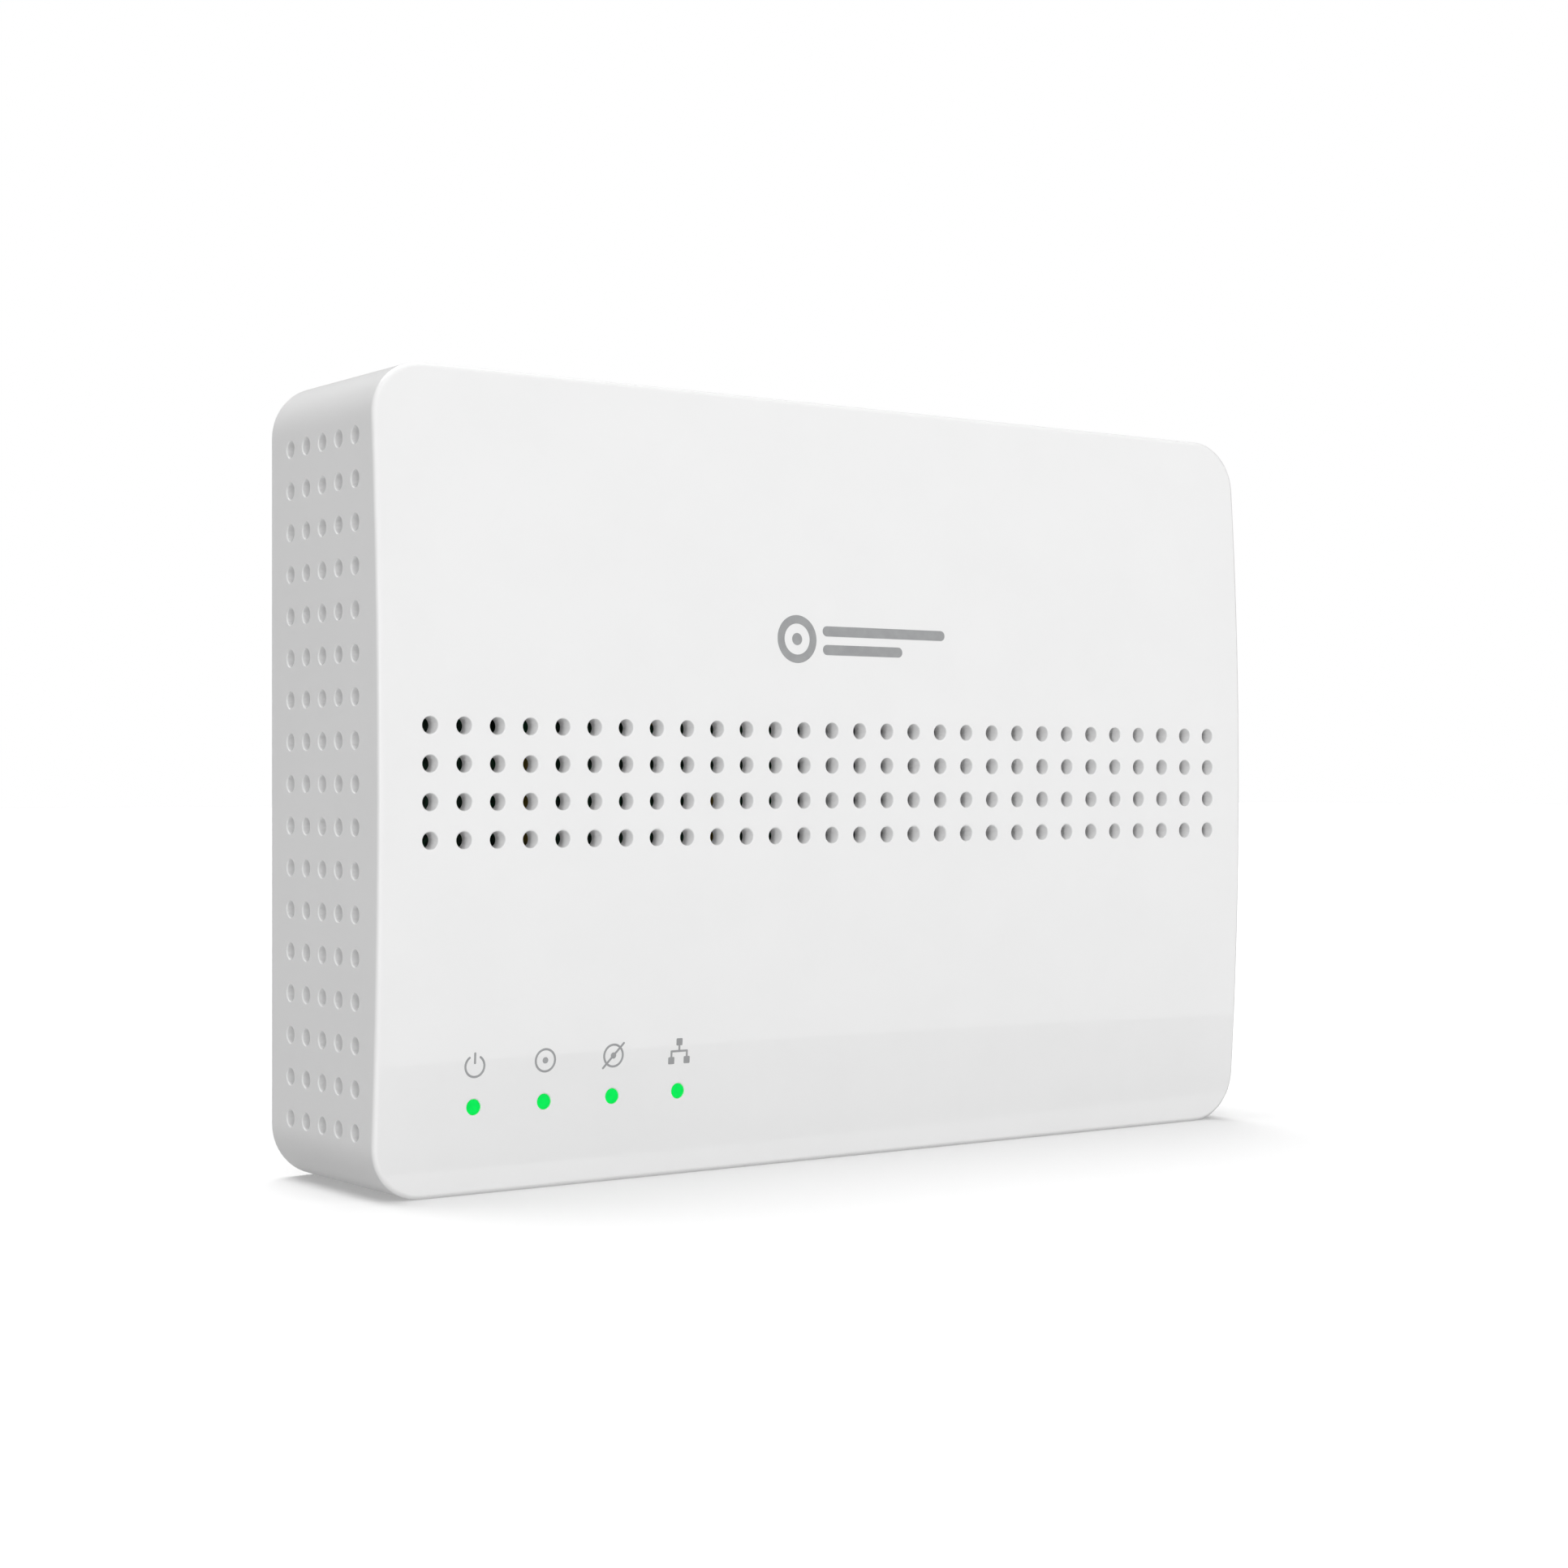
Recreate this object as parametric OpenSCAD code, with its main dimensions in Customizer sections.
// Optical network terminal: a slim upright box that ends a fibre line and feeds one network port.
// X runs along the width, Y from the front face to the back, Z up. The origin is the middle of the
// base, and the box stands on its lower edge wall.

/* [Body] */
// Width of the body
body_w = 115.5; // [114.5:0.5:118]
// Height of the body
body_h = 81.4; // [81.4:0.2:84]
// Depth from the front-most point of the face to the rear rim
body_d = 24; // [24:0.5:26]
// How far the face falls back at its top and bottom edges
face_bow = 1.7; // [1.2:0.1:2]
// Corner radius seen from the front
corner_r = 5.6; // [4.5:0.1:7]
// Rounding of the face's edges
edge_r = 0.5; // [0.4:0.1:1.2]
// Thickness of the side walls
wall = 1.8; // [1.6:0.1:2]
// Thickness of the front face
face_t = 2; // [1.8:0.1:2.2]

/* [Vents] */
// Columns of front vent holes
front_cols = 29; // [9:2:29]
// Rows of front vent holes
front_rows = 4; // [1:1:6]
// Spacing of the front vent holes
front_pitch = 3.73; // [3.4:0.01:3.75]
// Diameter of a front vent hole
front_hole_d = 1.7; // [1.2:0.1:2.2]
// Columns of side vent holes
side_cols = 5; // [1:1:5]
// Rows of side vent holes
side_rows = 17; // [3:2:17]
// Diameter of a side vent hole
side_hole_d = 1.7; // [1.4:0.1:2.4]

/* [Lamps] */
// Spacing of the four status lamps
lamp_pitch = 8; // [7.5:0.1:8]
// Diameter of a lamp window
lamp_hole_d = 1.6; // [1.4:0.1:2]

/* [Ports] */
// Sideways place of the fibre port
fibre_x = -34; // [-35:0.5:-33]
// Sideways place of the network jack
lan_x = -8; // [-9:0.5:-8]
// Sideways place of the reset hole
reset_x = 10; // [9:0.5:11]
// Sideways place of the power jack
dc_x = 24; // [24:0.5:24.5]
// Sideways place of the power button
button_x = 42; // [42:0.5:43]

/* [Hidden] */
$fn = 48;
eps = 0.05;                        // how far a cutter runs past the face it opens
feet_out = 0.8;                    // how far the rubber feet stand behind the rear rim

// Planes from front to back
front_y = -(body_d + feet_out) / 2;
rim_y = front_y + body_d;
foot_y = rim_y + feet_out;
cover_y = rim_y - 0.4;             // outer face of the inset rear cover
cover_t = 1.8;
cover_in_y = cover_y - cover_t;
board_t = 1.6;
board_back_y = cover_in_y - 2.6;
board_y = board_back_y - board_t;  // the board's front side, which carries every component

// Heights
mid_z = body_h / 2;
top_in_z = body_h - wall;          // inner side of the top wall
mouth_z = top_in_z - 0.2;          // plane of the connectors' mouths

// The face is part of a large cylinder lying along X
bow_r = (mid_z * mid_z + face_bow * face_bow) / (2 * face_bow);
bow_fn = 1440;                     // facets of the full circle, so that the short arc stays smooth
bow_deg = 12;
function bow_at(z) = bow_r - sqrt(bow_r * bow_r - (z - mid_z) * (z - mid_z));
function face_y(z) = front_y + bow_at(z);

// Vents and lamps
front_grid_z = mid_z - 0.2;
side_pitch_y = 3.58;
side_pitch_z = 4.23;
side_first_y = front_y + 5.1;
side_grid_z = mid_z - 0.3;
lamp_x = -body_w / 2 + 10.85;
lamp_z = 8.7;
pipe_r = lamp_hole_d / 2 - 0.05;

// Fastening points, as [x, z]
cover_screw_at = [[-51, 19], [51, 19], [-51, 74.4], [51, 74.4]];
board_screw_at = [[-45.5, 30], [45.5, 30], [-45.5, 58], [45.5, 58]];
foot_at = [[-42, 9], [42, 9], [-42, 71], [42, 71]];
keyhole_at = [[-30, 50], [30, 50]];
boss_r = 3;
boss_end_y = cover_in_y - 1.2;
pilot_r = 1.15;
standoff_r = 2.5;
foot_r = 4.5;
foot_seat = 0.8;
keyhole_r = 3.5;
keyhole_slot_r = 1.75;
keyhole_rise = 6;
label_w = 48;
label_h = 26;
label_z = 28;
label_seat = 0.3;

// Fibre port
sc_w = 12.8;
sc_t = 9.4;
sc_l = 27;
sc_y = board_y - sc_t / 2;
sc_low_z = mouth_z - sc_l;
sc_mid_z = mouth_z - 13.4;
plug_w = 9.1;
plug_t = 7.5;
sleeve_r = 1.6;
sleeve_in_r = 1.25;
sleeve_l = 11.4;
stub_r = 1.05;                     // held end of the object's own ferrule
holder_mouth_r = 1.45;
boot_low_z = sc_low_z - 8;

// Dust shutter, hinged behind the fibre port
hinge_y = sc_y + 6.4;
hinge_z = body_h - 1.1;
pin_r = 0.5;
knuckle_r = 1;
slot_w = 10.4;
shutter_w = 13.2;
shutter_low_y = sc_y - 4.9;
ear_gap = 1.1;                     // from the pin's axis to the front of the ears

// Network jack
jack_w = 16.2;
jack_t = 12.8;
jack_l = 21;
jack_low_z = mouth_z - jack_l;
sheet_t = 0.3;
contact_pitch = 1.02;

// Power jack
dc_w = 9;
dc_t = 11;
dc_l = 14.4;
dc_y = board_y - 6.5;
barrel_r = 3.15;
nose_r = 4.2;
nose_z = body_h - 0.4;
barrel_floor_z = nose_z - 10.5;
dc_pin_r = 1;
dc_root_r = 1.3;

// Power button and reset key
button_r = 3.3;
button_y = board_y - 4;
button_out = 1;
button_travel = 1.4;
flange_r = button_r + 0.5;         // keeps the button inside its hole
switch_w = 8;
switch_top_z = top_in_z - 6.1;
reset_y = board_y - 1.8;
reset_r = 1.1;

// Optical module and its fibre
fibre_r = 0.45;
loop_r = 12;
loop_z = 36;
module_z = loop_z - loop_r;
module_y = board_y - 3.2;
module_w = 6.4;
module_x = fibre_x + loop_r + 6;   // where the fibre enters the module's neck
can_r = 2.8;

// Chips
chip_at = [14, 40];
chip_w = 14;
chip_t = 1.2;
thermal_t = 0.6;
sink_w = 24;
sink_base_t = 1.5;
sink_y = board_y - chip_t - thermal_t;

white = [0.94, 0.94, 0.94];
gold = [0.85, 0.68, 0.32];
tin = [0.75, 0.76, 0.78];
steel = [0.65, 0.66, 0.68];
black = [0.1, 0.1, 0.11];
green = [0.1, 0.5, 0.3];

// A flat outline in X and Z, extruded from y0 to y1
module along_y(y0, y1) {
    translate([0, y1, 0]) rotate([90, 0, 0]) linear_extrude(y1 - y0) children();
}

// A flat outline in Y and Z, extruded from x0 to x1
module along_x(x0, x1) {
    translate([x0, 0, 0]) rotate([90, 0, 90]) linear_extrude(x1 - x0) children();
}

// A cylinder along Y at x, z
module rod_y(x, z, r, y0, y1) {
    translate([x, y1, z]) rotate([90, 0, 0]) cylinder(r = r, h = y1 - y0);
}

// A cylinder along X at y, z
module rod_x(y, z, r, x0, x1) {
    translate([x0, y, z]) rotate([0, 90, 0]) cylinder(r = r, h = x1 - x0);
}

// A cylinder along Z at x, y
module rod_z(x, y, r, z0, z1) {
    translate([x, y, z0]) cylinder(r = r, h = z1 - z0);
}

// A block centred on x in width, between two planes in Y and in Z
module block(x, w, y0, y1, z0, z1) {
    translate([x - w / 2, y0, z0]) cube([w, y1 - y0, z1 - z0]);
}

// A block lying on the board's front side, centred at x, z
module chip(x, z, w, h, t) {
    block(x, w, board_y - t, board_y, z - h / 2, z + h / 2);
}

// A rectangle with round corners, centred in width and standing on z0
module round_rect(w, z0, z1, r) {
    translate([-w / 2 + r, z0]) square([w - 2 * r, z1 - z0]);
    translate([-w / 2, z0 + r]) square([w, z1 - z0 - 2 * r]);
    for (x = [-w / 2 + r, w / 2 - r], z = [z0 + r, z1 - r]) translate([x, z]) circle(r);
}

// A slot with round ends along X, centred at x, z
module round_slot(x, z, l, w) {
    translate([x - l / 2 + w / 2, z - w / 2]) square([l - w, w]);
    for (s = [-1, 1]) translate([x + s * (l - w) / 2, z]) circle(w / 2);
}

// Points of a ring of the tube round point i of a path, with side as its flat reference direction
function unit(v) = v / norm(v);
function heading(path, i) = unit(path[min(i + 1, len(path) - 1)] - path[max(i - 1, 0)]);
function ring(path, i, r, sides, side) =
    let (t = heading(path, i), a = unit(cross(t, side)), b = cross(t, a))
    [for (k = [0:sides - 1]) path[i] + r * (cos(360 * k / sides) * a + sin(360 * k / sides) * b)];

// A round tube along a path
module tube(path, r, sides, side) {
    last = len(path) - 1;
    points = [for (i = [0:last]) each ring(path, i, r, sides, side)];
    walls = [for (i = [0:last - 1], k = [0:sides - 1])
        let (n = (k + 1) % sides)
        [i * sides + k, i * sides + n, (i + 1) * sides + n, (i + 1) * sides + k]];
    first_cap = [for (k = [0:sides - 1]) sides - 1 - k];
    last_cap = [for (k = [0:sides - 1]) last * sides + k];
    polyhedron(points, concat(walls, [first_cap], [last_cap]), convexity = 10);
}

// The bowed slab with rounded left and right edges, as a short arc of a very large ring
module bowed_slab() {
    deep = body_d + 4;
    translate([0, front_y + bow_r, mid_z]) rotate([0, 90, 0]) rotate([0, 0, -90 - bow_deg / 2])
        rotate_extrude(angle = bow_deg, $fn = bow_fn) {
            translate([bow_r - deep, -body_w / 2]) square([deep - edge_r, body_w]);
            translate([bow_r - deep, -body_w / 2 + edge_r]) square([deep, body_w - 2 * edge_r]);
            for (s = [-1, 1]) translate([bow_r - edge_r, s * (body_w / 2 - edge_r)]) circle(edge_r);
        }
}

// The side profile, which bevels the face's top and bottom edges
module edge_profile() {
    near_y = face_y(0) - edge_r;
    bevel_y = face_y(0) + edge_r;
    polygon([
        [near_y, 2 * edge_r], [bevel_y, 0], [rim_y, 0],
        [rim_y, body_h], [bevel_y, body_h], [near_y, body_h - 2 * edge_r],
        [front_y - 1, body_h - 2 * edge_r], [front_y - 1, 2 * edge_r]
    ]);
}

module outer_form() {
    intersection() {
        along_y(front_y - 1, rim_y) round_rect(body_w, 0, body_h, corner_r);
        bowed_slab();
        along_x(-body_w, body_w) edge_profile();
    }
}

module cavity() {
    intersection() {
        along_y(front_y, rim_y + 1)
            round_rect(body_w - 2 * wall, wall, body_h - wall, corner_r - wall);
        translate([-body_w, front_y + bow_r, mid_z]) rotate([0, 90, 0])
            cylinder(r = bow_r - face_t, h = 2 * body_w, $fn = bow_fn);
    }
}

// Everything that opens the top wall for the connectors, the button and the reset key
module top_openings() {
    above = body_h + 1;
    below = top_in_z - 1;
    jack_y = board_y - jack_t / 2;
    block(lan_x, jack_w - 1.6, jack_y - jack_t / 2 + 0.6, jack_y + jack_t / 2 - 0.6, below, above);
    rod_z(dc_x, dc_y, nose_r + 0.15, below, above);
    rod_z(button_x, button_y, button_r + 0.2, below, above);
    rod_z(reset_x, reset_y, 0.9, below, above);
    block(fibre_x, plug_w + 0.5, sc_y - 4, sc_y + 4, below, above);
    // shallow seat of the shutter, the slot for its knuckle and the notch for a fingernail
    seat_z = hinge_z;
    block(fibre_x, shutter_w + 0.4, shutter_low_y - 0.2, hinge_y - ear_gap, seat_z, above);
    block(fibre_x, slot_w, hinge_y - 1.2, hinge_y + knuckle_r + 0.3, below - 1, above);
    block(fibre_x, 6, shutter_low_y - 1.2, shutter_low_y, body_h - 0.7, above);
}

module front_cover() {
    color(white) difference() {
        union() {
            difference() {
                outer_form();
                cavity();
            }
            for (p = cover_screw_at)
                rod_y(p[0], p[1], boss_r, face_y(p[1]) + face_t - 0.5, boss_end_y);
            // the thickening under the shutter's hinge ears
            block(fibre_x, slot_w + 5, hinge_y - 1, hinge_y + 1.8, top_in_z - 0.7, top_in_z + eps);
        }
        for (p = cover_screw_at) rod_y(p[0], p[1], pilot_r, boss_end_y - 9, boss_end_y + eps);
        for (c = [0:front_cols - 1], r = [0:front_rows - 1])
            rod_y((c - (front_cols - 1) / 2) * front_pitch,
                  front_grid_z + (r - (front_rows - 1) / 2) * front_pitch,
                  front_hole_d / 2, front_y - 1, front_y + face_t + 1, $fn = 24);
        for (c = [0:side_cols - 1], r = [0:side_rows - 1])
            let (y = side_first_y + c * side_pitch_y)
            let (z = side_grid_z + (r - (side_rows - 1) / 2) * side_pitch_z)
            for (x = [-body_w / 2, body_w / 2])
                rod_x(y, z, side_hole_d / 2, x - wall - 1, x + wall + 1, $fn = 24);
        for (i = [0:3])
            rod_y(lamp_x + i * lamp_pitch, lamp_z, lamp_hole_d / 2, front_y, front_y + face_t + 2);
        top_openings();
        rod_x(hinge_y, hinge_z, pin_r, fibre_x - shutter_w / 2 - 0.2, fibre_x + shutter_w / 2 + 0.2);
    }
}

module keyhole(x, z) {
    translate([x, z]) circle(keyhole_r);
    translate([x, z + keyhole_rise]) circle(keyhole_slot_r);
    translate([x - keyhole_slot_r, z]) square([2 * keyhole_slot_r, keyhole_rise]);
}

module rear_cover() {
    gap = wall + 0.15;
    color(white) difference() {
        union() {
            along_y(cover_in_y, cover_y)
                round_rect(body_w - 2 * gap, gap, body_h - gap, corner_r - gap);
            for (p = cover_screw_at) rod_y(p[0], p[1], boss_r, boss_end_y, cover_in_y + eps);
            for (p = board_screw_at) rod_y(p[0], p[1], standoff_r, board_back_y, cover_in_y + eps);
        }
        for (p = cover_screw_at) {
            rod_y(p[0], p[1], 1.5, boss_end_y - eps, cover_y);
            rod_y(p[0], p[1], 2.5, cover_y - 1.3, cover_y + eps);
        }
        for (p = board_screw_at) rod_y(p[0], p[1], 0.9, board_back_y - eps, cover_y - 0.9);
        for (p = foot_at) rod_y(p[0], p[1], foot_r + 0.1, cover_y - foot_seat, cover_y + eps);
        along_y(cover_y - label_seat, cover_y + eps)
            translate([-label_w / 2, label_z - label_h / 2]) square([label_w, label_h]);
        along_y(cover_in_y - eps, cover_y + eps) {
            for (p = keyhole_at) keyhole(p[0], p[1]);
            for (x = [-34, 34], i = [0:5]) round_slot(x, 18 + 4 * i, 12, 1.8);
        }
    }
}

module rubber_feet() {
    color([0.2, 0.2, 0.21]) for (p = foot_at) translate([p[0], 0, p[1]]) rotate([-90, 0, 0])
        rotate_extrude() polygon([
            [0, cover_y - foot_seat], [foot_r, cover_y - foot_seat],
            [foot_r, foot_y - 0.4], [foot_r - 0.4, foot_y], [0, foot_y]
        ]);
}

// A pan-head screw along Y, its head facing +Y from the plane y
module screw_back(x, z, y, head_r, head_t, r, l) {
    difference() {
        union() {
            rod_y(x, z, head_r, y, y + head_t);
            rod_y(x, z, r, y - l, y + eps);
        }
        for (a = [0, 90]) translate([x, y + head_t, z]) rotate([0, a, 0])
            cube([head_r * 1.1, head_t, 0.5], center = true);
    }
}

module cover_screws() {
    color(steel) for (p = cover_screw_at) screw_back(p[0], p[1], cover_y - 1.3, 2.2, 1.2, 1.25, 9);
}

module pcb_screws() {
    color(steel) for (p = board_screw_at)
        translate([0, board_y, 0]) mirror([0, 1, 0]) screw_back(p[0], p[1], 0, 1.9, 1.3, 1, 5);
}

module rating_label() {
    color([0.86, 0.87, 0.88]) along_y(cover_y - label_seat, cover_y - 0.1)
        round_rect(label_w - 0.4, label_z - label_h / 2 + 0.2, label_z + label_h / 2 - 0.2, 1.5);
}

// Pegs that hold the light guide on the board
peg_at = [lamp_x + lamp_pitch / 2, lamp_x + 2.5 * lamp_pitch];
peg_r = 0.7;

module circuit_board() {
    color([0.05, 0.28, 0.16]) difference() {
        along_y(board_y, board_back_y)
            translate([-50, 4]) square([100, 73.5]);
        for (p = cover_screw_at) rod_y(p[0], p[1], boss_r + 0.5, board_y - 1, board_back_y + 1);
        for (p = board_screw_at) rod_y(p[0], p[1], 1.3, board_y - 1, board_back_y + 1);
        for (x = peg_at) rod_y(x, lamp_z, peg_r + 0.05, board_y - 1, board_back_y + 1);
    }
}

module main_chip() {
    color(black) chip(chip_at[0], chip_at[1], chip_w, chip_w, chip_t);
}

module thermal_pad() {
    color([0.55, 0.6, 0.68]) block(chip_at[0], chip_w, sink_y, sink_y + thermal_t,
        chip_at[1] - chip_w / 2, chip_at[1] + chip_w / 2);
}

module heatsink() {
    fins = 8;
    fin_t = 1.2;
    fin_h = 4.5;
    z0 = chip_at[1] - sink_w / 2;
    color([0.78, 0.79, 0.81]) {
        block(chip_at[0], sink_w, sink_y - sink_base_t, sink_y, z0, z0 + sink_w);
        for (i = [0:fins - 1])
            block(chip_at[0] + (i - (fins - 1) / 2) * (sink_w - fin_t) / (fins - 1), fin_t,
                  sink_y - sink_base_t - fin_h, sink_y - sink_base_t + eps, z0, z0 + sink_w);
    }
}

module memory_chip() {
    color(black) chip(36, 40, 9, 13, 1);
}

// A small chip with gull-wing legs on two sides
module flash_chip() {
    x = 36;
    z = 26;
    lead_pitch = 1.27;
    color(black) block(x, 4, board_y - 1.7, board_y - 0.2, z - 2.5, z + 2.5);
    color(tin) for (s = [-1, 1], i = [-1.5:1:1.5]) {
        block(x + s * 2.3, 0.6, board_y - 1, board_y - 0.7, z + i * lead_pitch - 0.2, z + i * lead_pitch + 0.2);
        block(x + s * 2.5, 0.3, board_y - 1, board_y, z + i * lead_pitch - 0.2, z + i * lead_pitch + 0.2);
        block(x + s * 2.8, 0.8, board_y - 0.2, board_y, z + i * lead_pitch - 0.2, z + i * lead_pitch + 0.2);
    }
}

module crystal() {
    color(tin) {
        along_y(board_y - 0.4, board_y) round_slot(8, 16, 11.4, 5);
        along_y(board_y - 3.5, board_y - 0.35) round_slot(8, 16, 10.4, 4);
    }
}

module lan_transformer() {
    x = 10;
    z = 60.3;
    pin_pitch = 1.2;
    color(black) block(x, 17.5, board_y - 5.6, board_y - 0.2, z - 5.4, z + 5.4);
    color(tin) for (s = [-1, 1], i = [-5.5:1:5.5])
        block(x + i * pin_pitch, 0.5, board_y - 0.5, board_y, z + s * 5.9 - 0.6, z + s * 5.9 + 0.6);
}

module electrolytic_capacitors() {
    for (z = [63, 71.5]) {
        color(black) block(33, 6.6, board_y - 1, board_y, z - 3.3, z + 3.3);
        color(tin) rod_y(33, z, 3.15, board_y - 7.7, board_y - 1 + eps);
    }
}

module power_inductors() {
    for (p = [[24, 59], [34, 54]]) {
        color([0.25, 0.25, 0.27]) chip(p[0], p[1], 6, 6, 0.6);
        color([0.3, 0.3, 0.32]) rod_y(p[0], p[1], 2.9, board_y - 3, board_y - 0.55);
    }
}

module ceramic_capacitors() {
    color([0.72, 0.6, 0.45]) for (i = [0:9]) chip(-40, 12 + 4 * i, 1.6, 0.8, 0.8);
}

module sc_adapter() {
    holder_r = 2.4;
    holder_z0 = sc_mid_z - sleeve_l / 2 - 0.4;
    holder_z1 = sc_mid_z + sleeve_l / 2 + 0.4;
    color(green) difference() {
        union() {
            difference() {
                block(fibre_x, sc_w, sc_y - sc_t / 2, sc_y + sc_t / 2, sc_low_z, mouth_z);
                block(fibre_x, plug_w, sc_y - plug_t / 2, sc_y + plug_t / 2, sc_mid_z + 0.8, mouth_z + eps);
                block(fibre_x, plug_w, sc_y - plug_t / 2, sc_y + plug_t / 2, sc_low_z - eps, sc_mid_z - 0.8);
                block(fibre_x, 2.8, sc_y - plug_t / 2 - 0.6, sc_y, sc_mid_z + 3, mouth_z + eps);
            }
            rod_z(fibre_x, sc_y, holder_r, holder_z0, holder_z1);
        }
        rod_z(fibre_x, sc_y, sleeve_r + 0.02, sc_mid_z - sleeve_l / 2, sc_mid_z + sleeve_l / 2);
        rod_z(fibre_x, sc_y, holder_mouth_r, holder_z0 - eps, holder_z1 + eps);
    }
}

// Split alignment sleeve: the outer half takes a visitor's ferrule
module ferrule_sleeve() {
    color([0.95, 0.94, 0.9]) difference() {
        rod_z(fibre_x, sc_y, sleeve_r, sc_mid_z - sleeve_l / 2, sc_mid_z + sleeve_l / 2);
        rod_z(fibre_x, sc_y, sleeve_in_r, sc_mid_z, sc_mid_z + sleeve_l / 2 + eps);
        rod_z(fibre_x, sc_y, stub_r, sc_mid_z - sleeve_l / 2 - eps, sc_mid_z + eps);
        block(fibre_x + 1.5, 2, sc_y - 0.1, sc_y + 0.1, sc_mid_z - sleeve_l, sc_mid_z + sleeve_l);
    }
}

plug_top_z = sc_mid_z - sleeve_l / 2 - 0.8;
module plug_ferrule() {
    color([0.96, 0.96, 0.94]) rod_z(fibre_x, sc_y, stub_r, plug_top_z - 3, sc_mid_z);
}

module fibre_plug() {
    color(green) difference() {
        block(fibre_x, plug_w - 0.2, sc_y - plug_t / 2 + 0.1, sc_y + plug_t / 2 - 0.1, sc_low_z - 2, plug_top_z);
        rod_z(fibre_x, sc_y, stub_r, plug_top_z - 3, plug_top_z + eps);
        rod_z(fibre_x, sc_y, fibre_r + 0.05, sc_low_z - 2 - eps, plug_top_z - 3 + eps);
    }
}

module plug_boot() {
    color([0.12, 0.45, 0.28]) difference() {
        translate([fibre_x, sc_y, boot_low_z]) cylinder(r1 = 1.1, r2 = 2.2, h = sc_low_z - 2 - boot_low_z);
        rod_z(fibre_x, sc_y, fibre_r + 0.05, boot_low_z - eps, sc_low_z - 2 + eps);
    }
}

// The pigtail leaves the plug downwards, makes one and a quarter turns and enters the module
loop_turn = 450;
loop_steps = 44;
fibre_route = concat(
    [[fibre_x, sc_y, plug_top_z - 3.2], [fibre_x, sc_y, boot_low_z], [fibre_x, sc_y, loop_z + 4]],
    [for (i = [0:loop_steps])
        let (a = 180 + loop_turn * i / loop_steps)
        [fibre_x + loop_r + loop_r * cos(a), sc_y + (module_y - sc_y) * i / loop_steps, loop_z + loop_r * sin(a)]],
    [[module_x - 3, module_y, module_z], [module_x + 2, module_y, module_z]]
);

module fibre_pigtail() {
    color([0.95, 0.85, 0.2]) tube(fibre_route, fibre_r, 8, [0, 1, 0]);
}

neck_l = 5;
module_l = 10;
module optical_module() {
    x0 = module_x + neck_l;
    color([0.8, 0.78, 0.7]) difference() {
        union() {
            rod_x(module_y, module_z, 1.5, module_x, x0 + eps);
            block(x0 + module_l / 2, module_l, module_y - module_w / 2, board_y,
                  module_z - module_w / 2, module_z + module_w / 2);
        }
        rod_x(module_y, module_z, fibre_r + 0.05, module_x - eps, module_x + 2.2);
    }
}

module laser_can() {
    x0 = module_x + neck_l + module_l;
    color(gold) {
        rod_x(module_y, module_z, can_r, x0, x0 + 1.2);
        rod_x(module_y, module_z, can_r - 0.4, x0 + 1.15, x0 + 4);
    }
}

module receiver_can() {
    x = module_x + neck_l + module_l / 2;
    z0 = module_z - module_w / 2;
    color(gold) {
        rod_z(x, module_y, can_r, z0 - 1.2, z0);
        rod_z(x, module_y, can_r - 0.4, z0 - 4, z0 - 1.15);
    }
}

neck_x0 = fibre_x - slot_w / 2 + 0.2;
neck_x1 = fibre_x + 1.8;
module port_shutter() {
    low_z = hinge_z + 0.1;
    high_z = hinge_z + knuckle_r;
    plate_y = hinge_y - 1.7;
    color(white) difference() {
        union() {
            block(fibre_x, shutter_w, shutter_low_y, plate_y, low_z, high_z);
            along_x(neck_x0, neck_x1) {
                translate([plate_y - eps, low_z]) square([hinge_y - plate_y + eps, high_z - low_z]);
                translate([hinge_y, hinge_z]) circle(knuckle_r);
            }
        }
        rod_x(hinge_y, hinge_z, pin_r + 0.05, neck_x0 - 1, neck_x1 + 1);
    }
}

module shutter_pin() {
    color(steel) rod_x(hinge_y, hinge_z, pin_r, fibre_x - shutter_w / 2, fibre_x + shutter_w / 2);
}

// A small torsion spring on the pin, between the knuckle and the right-hand ear
spring_r = 0.75;
spring_turns = 4;
spring_steps = 12;
spring_x = neck_x1 + 0.4;
spring_l = 2.6;
spring_count = spring_turns * spring_steps;
spring_route = concat(
    [[spring_x, hinge_y + 1.1, hinge_z - spring_r]],
    [for (i = [0:spring_count])
        let (a = -90 - 360 * i / spring_steps)
        [spring_x + spring_l * i / spring_count, hinge_y + spring_r * cos(a), hinge_z + spring_r * sin(a)]],
    [[spring_x + spring_l, hinge_y - 1, hinge_z - spring_r]]
);

module shutter_spring() {
    color(tin) tube(spring_route, 0.12, 6, [1, 0, 0]);
}

module lan_jack_shield() {
    y0 = board_y - jack_t;
    color(tin) difference() {
        block(lan_x, jack_w, y0, board_y, jack_low_z, mouth_z);
        block(lan_x, jack_w - 2 * sheet_t, y0 + sheet_t, board_y + eps, jack_low_z + sheet_t, mouth_z + eps);
    }
}

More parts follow.
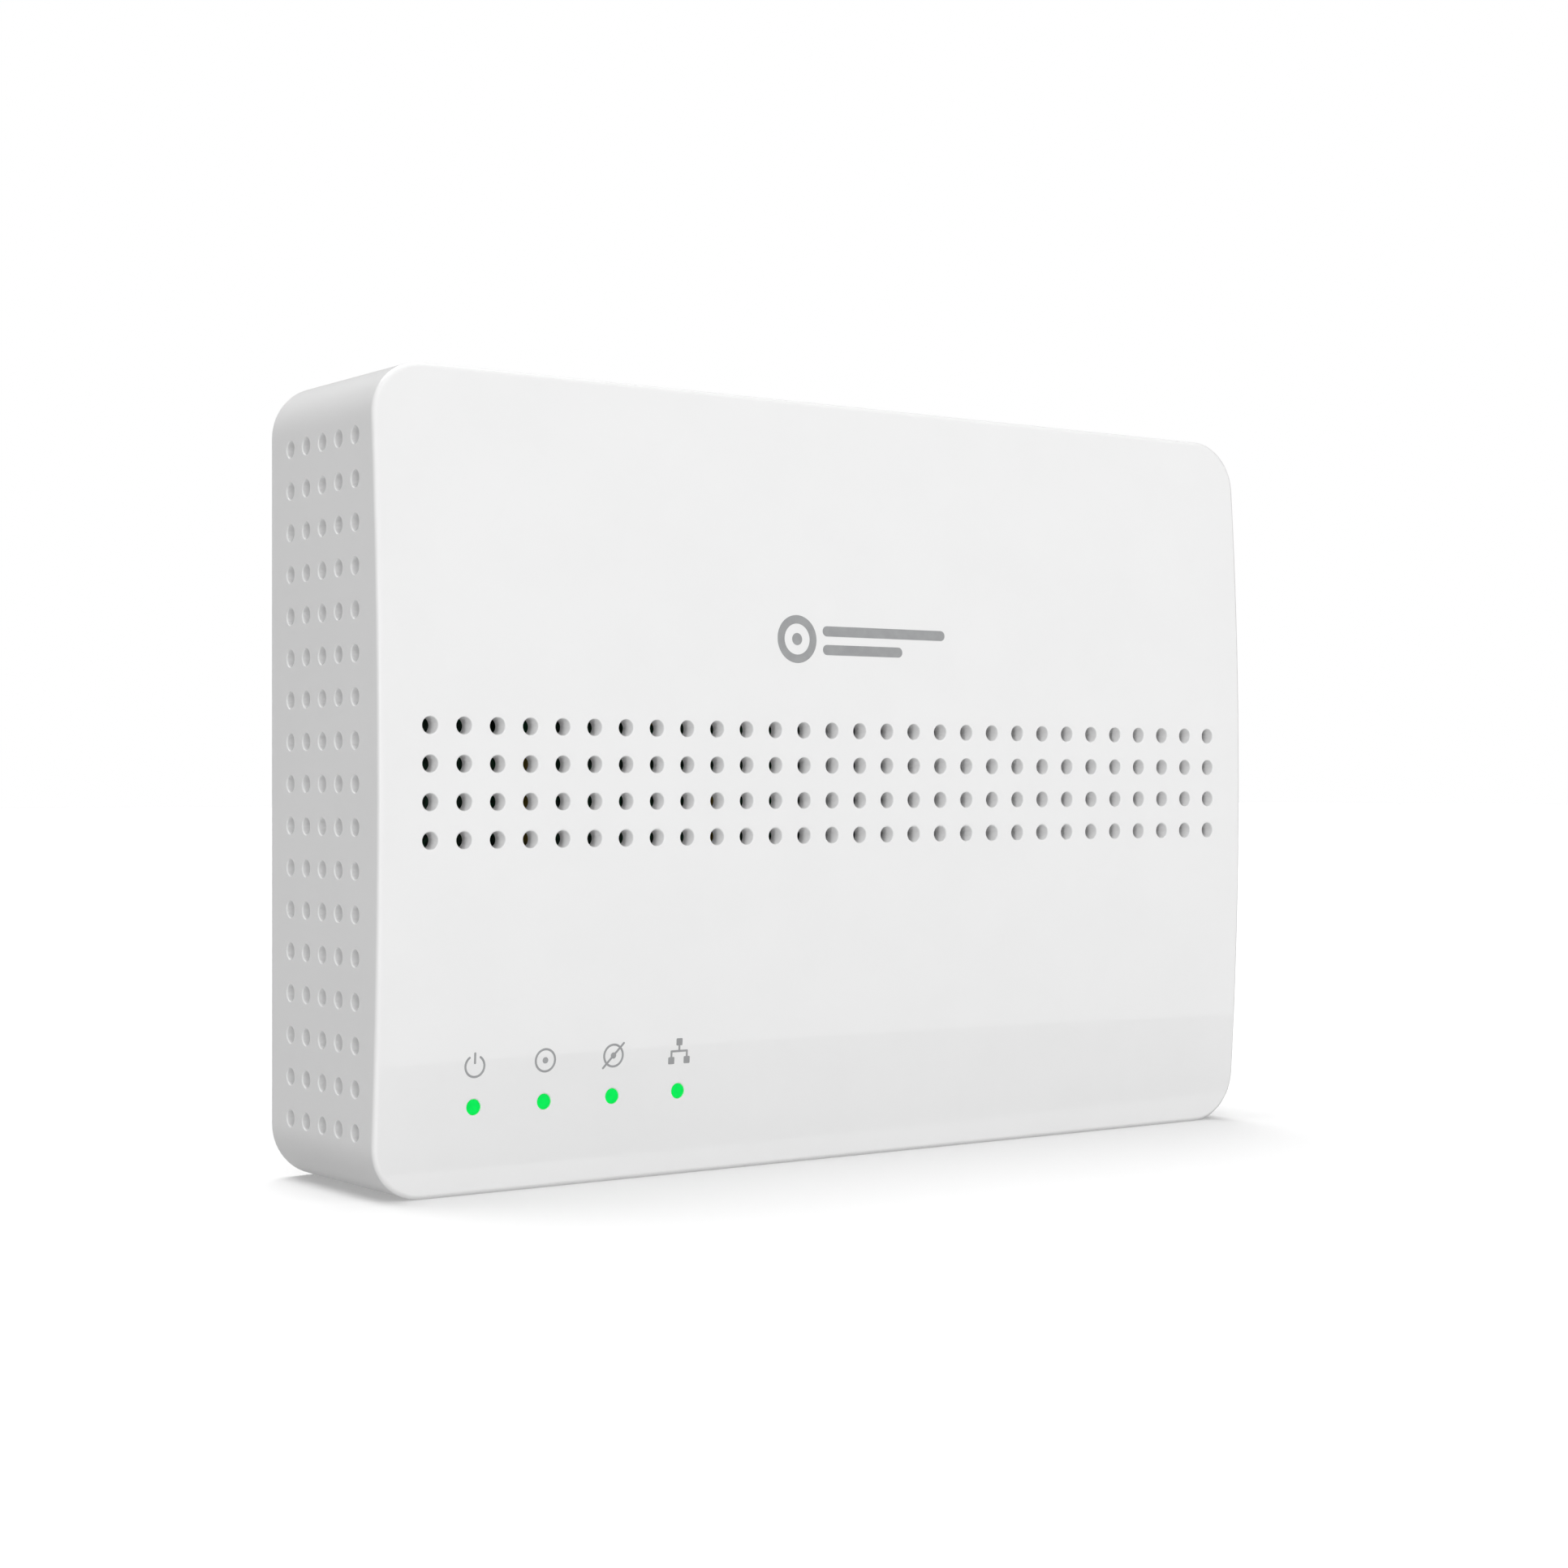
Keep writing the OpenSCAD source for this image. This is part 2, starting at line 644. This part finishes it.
// Plug cavity: the latch side faces the front, the contacts lie on the board's side
jack_floor_z = mouth_z - 14;
jack_cav_y0 = board_y - 8.8;
jack_cav_y1 = board_y - 1.8;
module lan_jack_housing() {
    w = jack_w - 2 * sheet_t - 0.1;
    color([0.16, 0.16, 0.17]) difference() {
        block(lan_x, w, board_y - jack_t + sheet_t + eps, board_y, jack_low_z + sheet_t + eps, mouth_z - 0.1);
        block(lan_x, 11.9, jack_cav_y0, jack_cav_y1, jack_floor_z, mouth_z);
        block(lan_x, 6.4, jack_cav_y0 - 1.6, jack_cav_y0 + eps, jack_floor_z, mouth_z);
        block(lan_x, 3.4, jack_cav_y0 - 2.8, jack_cav_y0, jack_floor_z, mouth_z);
        block(lan_x, 8.6, jack_cav_y1 - eps, board_y + eps, jack_floor_z - 2, mouth_z - 1.4);
    }
}

// One bent wire: up from the board, then folded back down into the plug's way
module contact_profile() {
    y = jack_cav_y1 + 0.5;
    polygon([
        [board_y, jack_floor_z - 1.4], [y, jack_floor_z - 1.4], [y, mouth_z - 3.2],
        [y - 0.5, mouth_z - 2.8], [jack_cav_y1 - 1.7, mouth_z - 10], [jack_cav_y1 - 1.4, mouth_z - 10.1],
        [y - 0.35, mouth_z - 3.6], [y - 0.35, jack_floor_z - 1.75], [board_y, jack_floor_z - 1.75]
    ]);
}

module lan_jack_contacts() {
    color(gold) for (i = [-3.5:1:3.5])
        along_x(lan_x + i * contact_pitch - 0.18, lan_x + i * contact_pitch + 0.18) contact_profile();
}

module dc_jack_housing() {
    low_z = mouth_z - dc_l;
    color(black) difference() {
        union() {
            block(dc_x, dc_w, board_y - dc_t, board_y, low_z, mouth_z);
            rod_z(dc_x, dc_y, nose_r, mouth_z - eps, nose_z);
        }
        rod_z(dc_x, dc_y, barrel_r, barrel_floor_z, nose_z + eps);
        rod_z(dc_x, dc_y, dc_root_r, low_z - eps, barrel_floor_z + eps);
        block(dc_x, 2.6, dc_y + 2, dc_y + 4.2, barrel_floor_z - 2, mouth_z - 1.4);
    }
}

module dc_centre_pin() {
    color(tin) {
        rod_z(dc_x, dc_y, dc_pin_r, barrel_floor_z - eps, nose_z - 1);
        rod_z(dc_x, dc_y, dc_root_r, mouth_z - dc_l, barrel_floor_z);
    }
}

module dc_spring_contact() {
    color(tin) along_x(dc_x - 1, dc_x + 1) polygon([
        [dc_y + 3.9, barrel_floor_z - 1.8], [dc_y + 3.9, mouth_z - 2], [dc_y + 3.5, mouth_z - 1.7],
        [dc_y + 2.75, mouth_z - 6], [dc_y + 3.05, mouth_z - 6], [dc_y + 3.6, mouth_z - 2.9],
        [dc_y + 3.6, barrel_floor_z - 1.8]
    ]);
}

stem_w = 3;
stem_top_z = switch_top_z + 4;
module power_switch() {
    color(black) difference() {
        block(button_x, switch_w, board_y - switch_w, board_y, switch_top_z - 11.5, switch_top_z);
        block(button_x, stem_w + 0.4, button_y - stem_w / 2 - 0.2, button_y + stem_w / 2 + 0.2,
              switch_top_z - 7, switch_top_z + eps);
    }
}

module switch_stem() {
    color([0.85, 0.85, 0.83]) block(button_x, stem_w, button_y - stem_w / 2, button_y + stem_w / 2,
        switch_top_z - 5, stem_top_z);
}

module power_button() {
    base_z = switch_top_z + button_travel + 0.3;
    top_z = body_h + button_out;
    flange_z = top_in_z - 0.2;
    color(white) difference() {
        translate([button_x, button_y, 0]) rotate_extrude() polygon([
            [0, base_z], [button_r, base_z], [button_r, flange_z - 1.2], [flange_r, flange_z - 1.2],
            [flange_r, flange_z], [button_r, flange_z], [button_r, top_z - 0.3],
            [button_r - 0.3, top_z], [0, top_z]
        ]);
        block(button_x, stem_w, button_y - stem_w / 2, button_y + stem_w / 2, base_z - eps, stem_top_z);
    }
}

reset_top_z = top_in_z - 3.1;
module reset_switch() {
    color(black) difference() {
        block(reset_x, 7.2, board_y - 3.6, board_y, reset_top_z - 6, reset_top_z);
        rod_z(reset_x, reset_y, reset_r + 0.2, reset_top_z - 3.5, reset_top_z + eps);
    }
}

module reset_plunger() {
    color([0.8, 0.78, 0.7]) rod_z(reset_x, reset_y, reset_r, reset_top_z - 2.9, top_in_z - 0.4);
}

module light_guide() {
    bridge_y = -1;
    pipe_end_y = board_y - 1;
    color([0.2, 0.88, 0.46]) {
        for (i = [0:3])
            rod_y(lamp_x + i * lamp_pitch, lamp_z, pipe_r, face_y(lamp_z) + eps, pipe_end_y);
        block(lamp_x + 1.5 * lamp_pitch, 3 * lamp_pitch + 2, bridge_y, bridge_y + 1.5, lamp_z - 1.2, lamp_z + 1.2);
        for (x = peg_at) rod_y(x, lamp_z, peg_r, bridge_y + 0.5, board_back_y);
    }
}

module status_leds() {
    color([0.9, 0.95, 0.8]) for (i = [0:3]) chip(lamp_x + i * lamp_pitch, lamp_z, 1.6, 1.2, 0.8);
}

front_cover();
rear_cover();
rubber_feet();
cover_screws();
rating_label();
circuit_board();
pcb_screws();
main_chip();
thermal_pad();
heatsink();
memory_chip();
flash_chip();
crystal();
lan_transformer();
electrolytic_capacitors();
power_inductors();
ceramic_capacitors();
sc_adapter();
ferrule_sleeve();
plug_ferrule();
fibre_plug();
plug_boot();
fibre_pigtail();
optical_module();
laser_can();
receiver_can();
port_shutter();
shutter_pin();
shutter_spring();
lan_jack_shield();
lan_jack_housing();
lan_jack_contacts();
dc_jack_housing();
dc_centre_pin();
dc_spring_contact();
power_switch();
switch_stem();
power_button();
reset_switch();
reset_plunger();
light_guide();
status_leds();
